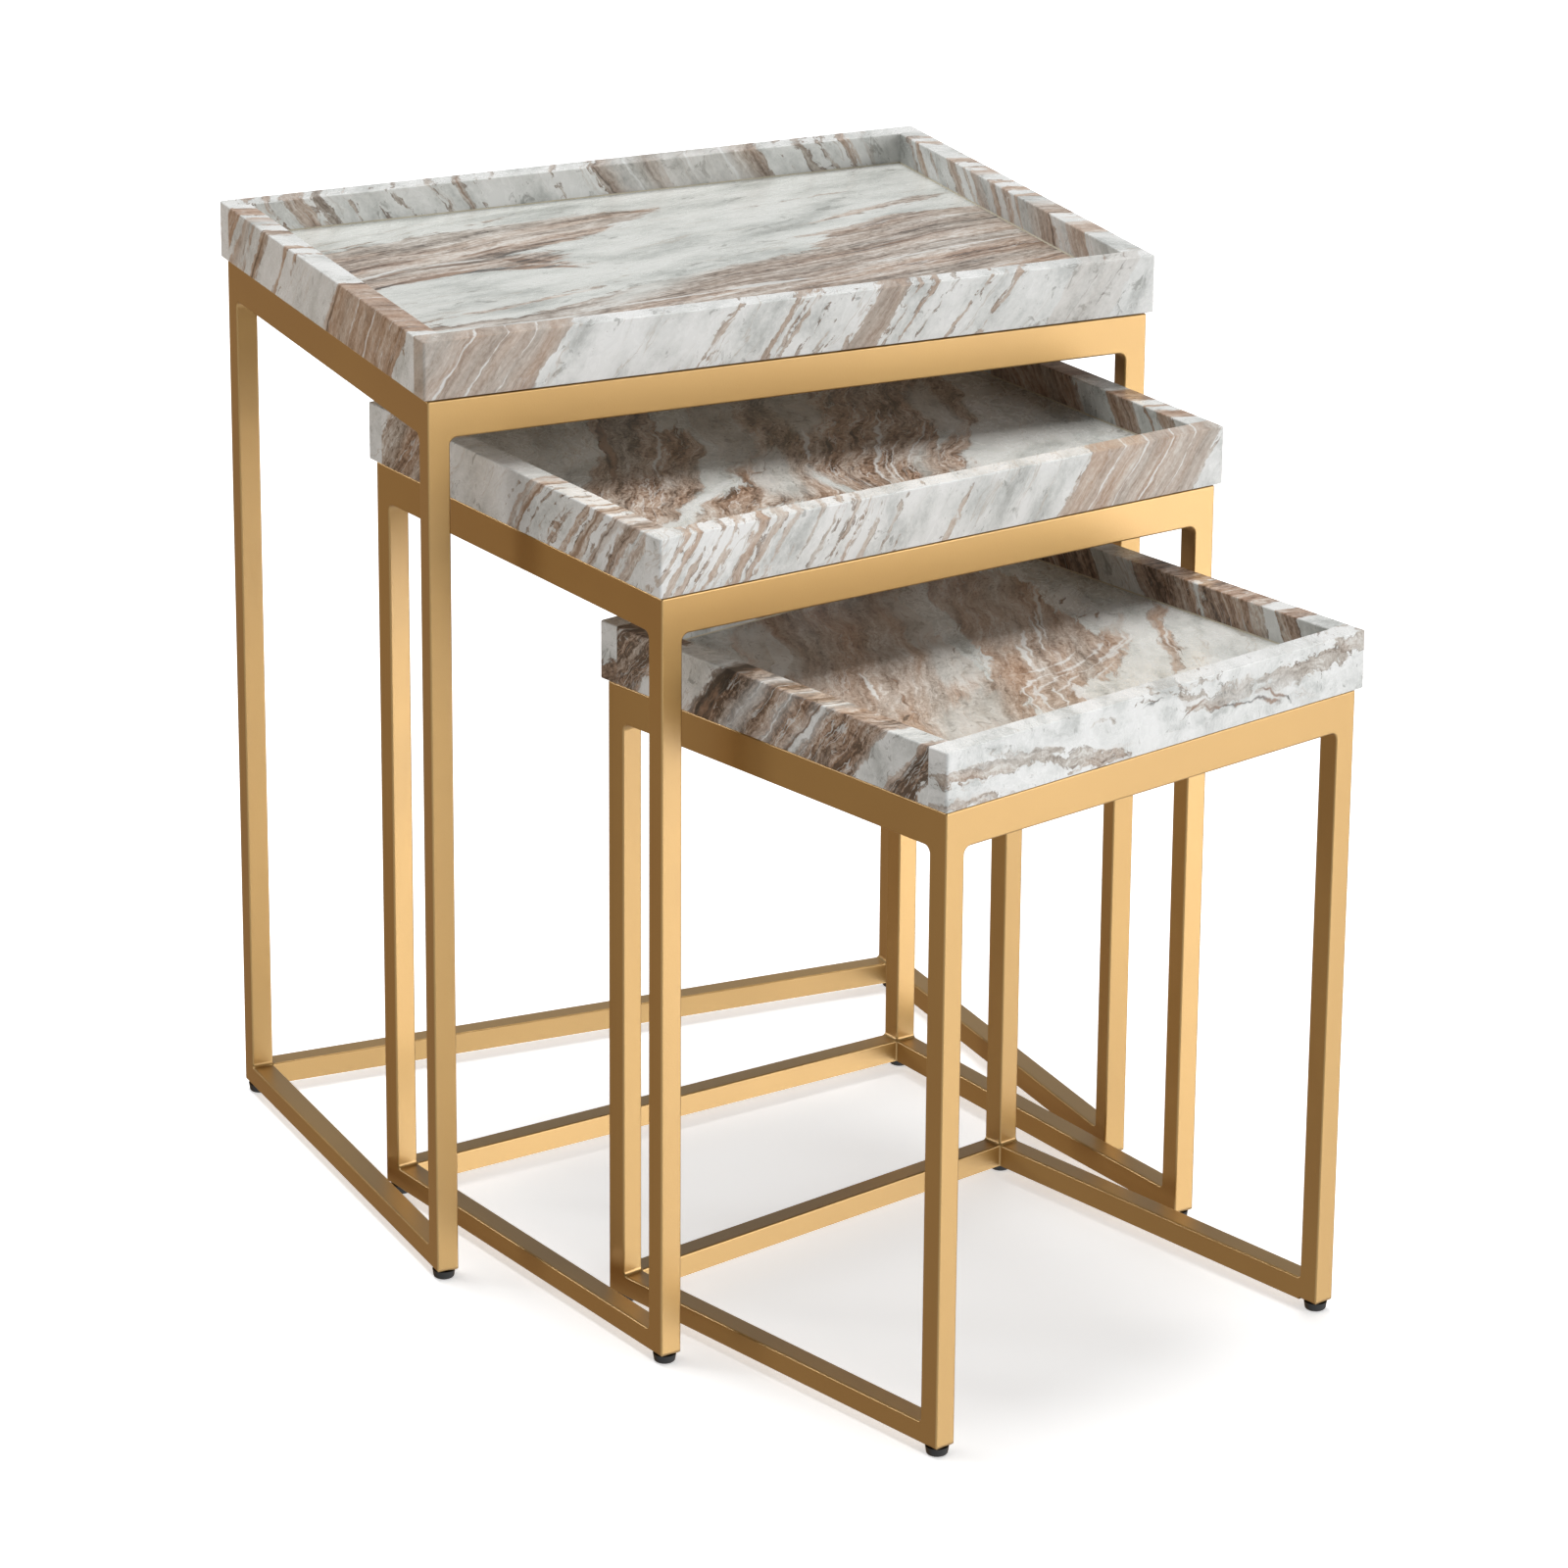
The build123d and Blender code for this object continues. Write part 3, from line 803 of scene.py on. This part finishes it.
            (-8, -58, 30, -9.0, 1.1, 22),
            (0, -64, 29, -8.0, 1.4, 23),
            (9, -70, 30, -7.0, 1.1, 21),
            (26, -74, 33, -5.0, 1.5, 22),
            (34, -40, 12, 6.0, 1.1, 30),
            (46, -46, 17, 6.0, 1.4, 34),
            (64, -46, 25, 4.0, 1.3, 42),
            (84, -38, 28, 2.0, 1.1, 38),
            (112, -54, 46, 0.0, 1.0, 26),
            (26, -18, 57, 0.0, 3.0, 13),
            (42, -2, 57, 0.0, 2.8, 16),
            (58, 6, 58, 0.0, 1.8, 20),
            (72, 20, 57, 0.0, 2.4, 18),
            (90, 40, 54, 0.0, 2.0, 28),
            (118, 30, 62, 0.0, 24, 20),
            (-91, 8, 62, 0.0, 3.0, 12),
            (-97, 86, 50, 0.0, 9, 28),
            (0, -86, 56, 0.0, 5, 9),
        ],
    },
    "small_rim_front": {
        "angle": -3,
        "wave": 0.020,
        "ripple": 0.016,
        "draw": 2.2,
        "seed": (4.4, 0.8, 1.7),
        "warm": 0.05,
        "tone": 0.03,
        "contrast": 1.2,
        "veil": 0.0,
        "brown": [
            (-128, -14, -3, -1.6, 6.5, 70),
            (-62, -28, -13, 0.0, 6.0, 66),
            (52, -13, -8, 2.2, 6.5, 62),
            (138, -13, 12, 0.0, 8.0, 60),
            (-160, -35, 0, 0.0, 2.5, 36),
            (168, -6, 0, 0.0, 5.0, 34),
            (0, -3, 4, 0.0, 1.4, 50),
        ],
        "dark": [
            (72, -24, -14, 0.0, 1.6, 34),
            (-8, -5, 10, 0.0, 1.2, 14),
            (100, -28, -25, 0.0, 1.2, 14),
            (30, -15, 20, 0.0, 0.9, 10),
        ],
        "light": [
            (-66, -16, -13, 0.0, 4.5, 90),
            (40, -31, 3, 0.0, 5.5, 90),
            (0, -8, -4, 0.0, 2.2, 60),
            (-140, -30, -4, 0.0, 4, 60),
        ],
        "grey": [(84, -19, -10, 0.0, 5, 40), (-120, -8, 0, 0.0, 4, 50)],
    },
    "small_rim_left": {
        "angle": 50,
        "wave": 0.022,
        "ripple": 0.012,
        "draw": 1.4,
        "seed": (0.2, 4.1, 1.1),
        "warm": 0.6,
        "tone": -0.12,
        "contrast": 1.7,
        "brown": [(-170, -112), (-62, 32), (36, 92), (122, 150)],
        # The first dark band, (-56, -44), is painted shade: the shadow the medium table's front-left leg
        # casts on this strip. The others are dark veins in the stone.
        "dark": [(-56, -44), (30, 32), (74, 76), (128, 131)],
        "light": [(-24, -22), (8, 9), (34, 36)],
        "grey": [(-82, -60), (-28, -14), (4, 12), (28, 42), (92, 122)],
    },
    "small_rim_back": {
        "angle": 52,
        "wave": 0.022,
        "seed": (3.1, 3.7, 0.5),
        "warm": 0.7,
        "tone": -0.06,
        "contrast": 1.3,
        "brown": [(-176, -120), (-60, -40), (20, 70), (110, 125)],
        "grey": [(-110, -60), (70, 110)],
    },
    "small_rim_right": {
        "angle": 122,
        "wave": 0.020,
        "seed": (1.1, 5.3, 0.7),
        "warm": 0.85,
        "tone": -0.05,
        "contrast": 1.4,
        "brown": [(-130, -60), (-22, 30), (36, 92), (104, 130)],
        "grey": [(-60, -22)],
    },
}


def dress_marble():
    bedding, stone = bedding_group(), stone_group()
    for node, look in LOOKS.items():
        size, part = node.split("_", 1)
        side = part.rsplit("_", 1)[1]
        dress(node, marble(f"marble_{node}", size, side, look, bedding, stone))


# ---------------------------------------------------------------- glue lines

GLUE = ((0.50, 0.44, 0.30), (0.74, 0.70, 0.58))
BEAD = 0.0010  # the bead's reach over the floor and up the rim
BEAD_HOLLOW = 0.38  # how far its face comes out of the corner, as a share of that
BEAD_ROOT = 0.0003  # how deep its back is in the stone
CORNERS = ((-1, -1), (1, -1), (1, 1), (-1, 1))


def glue():
    material, graph, shader = new_material("pale_glue", {"IOR": 1.48})
    smear = graph.noise(graph.place(), scale=90.0, detail=4.0, roughness=0.6)
    roughness = graph.between(smear, 0.2, 0.8, to_low=0.35, to_high=0.55)
    finish_surface(graph, shader, graph.mix(smear, *GLUE), roughness, smear, distance=0.0002)
    return material


def glue_line(size, material):
    """The bead of glue round the edge of a tray floor, its back a little way into the stone."""
    middle = place_of(size)
    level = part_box(f"{size}_tray_floor")[1].z
    half_width, half_depth = (half - RIM for half in HALF_TRAY[size])
    hollow = BEAD * BEAD_HOLLOW
    profile = ((-BEAD_ROOT, BEAD), (hollow, hollow), (BEAD, -BEAD_ROOT), (-BEAD_ROOT, -BEAD_ROOT))
    turn = Matrix.Rotation(TURN[size], 4, "Z")
    form = bmesh.new()
    rings = []
    for inset, height in profile:
        offset = Vector((middle.x, middle.y, level + height))
        corners = [(x * (half_width - inset), y * (half_depth - inset)) for x, y in CORNERS]
        rings.append([form.verts.new(turn @ Vector((x, y, 0.0)) + offset) for x, y in corners])
    for ring, following in zip(rings, rings[1:] + rings[:1]):
        for i in range(4):
            j = (i + 1) % 4
            form.faces.new((ring[i], ring[j], following[j], following[i]))
    bmesh.ops.recalc_face_normals(form, faces=form.faces)
    piece = new_piece(f"{size}_glue_line", form, material)
    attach(piece, BODY[size])


def new_piece(name, form, material):
    """An object of that shape and material, in the scene."""
    mesh = bpy.data.meshes.new(name)
    form.to_mesh(mesh)
    form.free()
    mesh.materials.append(material)
    piece = bpy.data.objects.new(name, mesh)
    bpy.context.scene.collection.objects.link(piece)
    return piece


# ---------------------------------------------------------------- light, floor, camera

# How bright the surroundings are above the horizon, what low light behind adds to that, and how bright they
# are below the horizon.
ABOVE_BACK, ABOVE_FRONT = 0.09, 0.16
LOW_BACK = 0.32
BELOW_BACK, BELOW_FRONT = 0.40, 1.06
BELOW_LEFT = 0.85  # the share of that on the left
NEUTRAL_LIGHT = (0.98, 0.99, 1.0)
WARM_LIGHT = (1.0, 0.65, 0.34)
LAMP_DISTANCE = 4.0
FLOOR_WHITE = ((0.95, 0.95, 0.95), (0.97, 0.97, 0.97))
FLOOR_GLOW = 0.52


def surroundings():
    """Dim above, with some light low behind, and below the horizon as bright as a white floor would be.

    It is less so on the left, and warm below the horizon behind, which deepens the colour of the gold.
    """
    world = bpy.data.worlds.new("studio")
    world.use_nodes = True
    graph = Graph(world.node_tree)
    x, y, z = graph.split(graph.node("ShaderNodeTexCoord").outputs["Generated"])
    front = graph.between(y, 0.8, -0.8)
    above = graph.math("MULTIPLY_ADD", front, ABOVE_FRONT - ABOVE_BACK, ABOVE_BACK)
    low_back = graph.math("MULTIPLY", graph.between(y, 0.1, 0.6), graph.between(z, 0.65, 0.30))
    above = graph.math("MULTIPLY_ADD", low_back, LOW_BACK, above)
    below = graph.math("MULTIPLY_ADD", front, BELOW_FRONT - BELOW_BACK, BELOW_BACK)
    below = graph.math("MULTIPLY", below, graph.between(x, -0.9, 0.5, to_low=BELOW_LEFT))
    share = graph.between(z, 0.05, -0.15)
    level = graph.node("ShaderNodeMix", {0: share, 2: above, 3: below}, data_type="FLOAT").outputs[0]
    warm = graph.math("MULTIPLY", graph.between(y, 0.0, 0.6), graph.between(z, 0.10, -0.10))
    background = world.node_tree.nodes["Background"]
    graph.feed(background.inputs["Color"], graph.mix(warm, NEUTRAL_LIGHT, WARM_LIGHT))
    graph.feed(background.inputs["Strength"], level)
    bpy.context.scene.world = world


def sun(name, azimuth, elevation, spread, strength):
    """A lamp on that side, its light spread over that many degrees."""
    data = bpy.data.lights.new(name, "SUN")
    data.angle = math.radians(spread)
    data.energy = strength
    lamp = bpy.data.objects.new(name, data)
    turn, rise = math.radians(azimuth), math.radians(elevation)
    towards = Vector((math.sin(turn) * math.cos(rise), -math.cos(turn) * math.cos(rise), math.sin(rise)))
    lamp.location = towards * LAMP_DISTANCE
    lamp.rotation_euler = towards.to_track_quat("Z", "Y").to_euler()
    bpy.context.scene.collection.objects.link(lamp)
    return lamp


def soft_light(name, gold_frames, azimuth, elevation, spread, strength):
    """A broad even light from that side, degrees to the right of the front and above the floor.

    It is two lamps, one for what surfaces scatter and one for what the gold reflects, so that the polished
    stone shows no glare of a lamp from any side.
    """
    scattered = sun(name, azimuth, elevation, spread, strength)
    scattered.visible_glossy = False
    reflected = sun(f"{name}_on_gold", azimuth, elevation, spread, strength)
    reflected.visible_diffuse = False
    reflected.light_linking.receiver_collection = gold_frames


def studio(gold_frames):
    """Light from above and a little behind, low light from the front right, a weak one from the left back."""
    surroundings()
    soft_light("overhead", gold_frames, azimuth=180, elevation=80, spread=32, strength=2.70)
    soft_light("front_right", gold_frames, azimuth=41, elevation=4, spread=52, strength=2.45)
    soft_light("left_back", gold_frames, azimuth=-125, elevation=14, spread=12, strength=0.60)


def pale_floor():
    """A plain pale floor, a little brighter than the light on it makes it.

    No surface is lit by it or mirrors it: the surroundings stand for the light it would send back.
    """
    fixed = {"Roughness": 0.6, "Emission Color": (1.0, 1.0, 1.0, 1.0), "Emission Strength": FLOOR_GLOW}
    material, graph, shader = new_material("pale_floor", fixed)
    soft = graph.noise(graph.place(), scale=1.5, detail=3.0, roughness=0.5)
    graph.feed(shader.inputs["Base Color"], graph.mix(soft, *FLOOR_WHITE))
    form = bmesh.new()
    bmesh.ops.create_grid(form, x_segments=8, y_segments=8, size=12.0)
    floor = new_piece("pale_floor", form, material)
    floor.visible_diffuse = False
    floor.visible_glossy = False


# The photograph's viewpoint: 25 degrees to the left of the front and 20 degrees above, with a long lens.
EYE = (-1.7089, -3.6670, 1.7891)
YAW, PITCH, ROLL = 0.4330, 0.3508, 0.0077
FOCAL_LENGTH, SENSOR = 152.83, 36.0


def photo_camera():
    data = bpy.data.cameras.new("photo_camera")
    data.lens = FOCAL_LENGTH
    data.sensor_width = SENSOR
    data.clip_end = 50.0
    camera = bpy.data.objects.new("photo_camera", data)
    aim = Matrix.Rotation(-YAW, 4, "Z") @ Matrix.Rotation(math.pi / 2 - PITCH, 4, "X")
    camera.matrix_world = Matrix.Translation(EYE) @ aim @ Matrix.Rotation(ROLL, 4, "Z")
    bpy.context.scene.collection.objects.link(camera)
    bpy.context.scene.camera = camera
    bpy.context.scene.view_settings.view_transform = "Standard"


def dress_hardware():
    """Gives the frames, glides, inserts and pads their surfaces, and gathers the gold ones for the lamps."""
    gold_frames = bpy.data.collections.new("gold_frames")
    gold, black, steel, pad = gold_coat(), black_plastic(), insert_steel(), clear_pad()
    for name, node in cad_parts.items():
        if "rail" in name or "_leg_" in name:
            dress(name, gold)
            gold_frames.objects.link(node)
        elif "glide" in name:
            dress(name, black)
        elif "insert" in name:
            dress(name, steel)
        elif "pads" in name:
            dress(name, pad)
    return gold_frames


gold_frames = dress_hardware()
dress_marble()
pale_glue = glue()
for size in SIZES:
    glue_line(size, pale_glue)
studio(gold_frames)
pale_floor()
photo_camera()
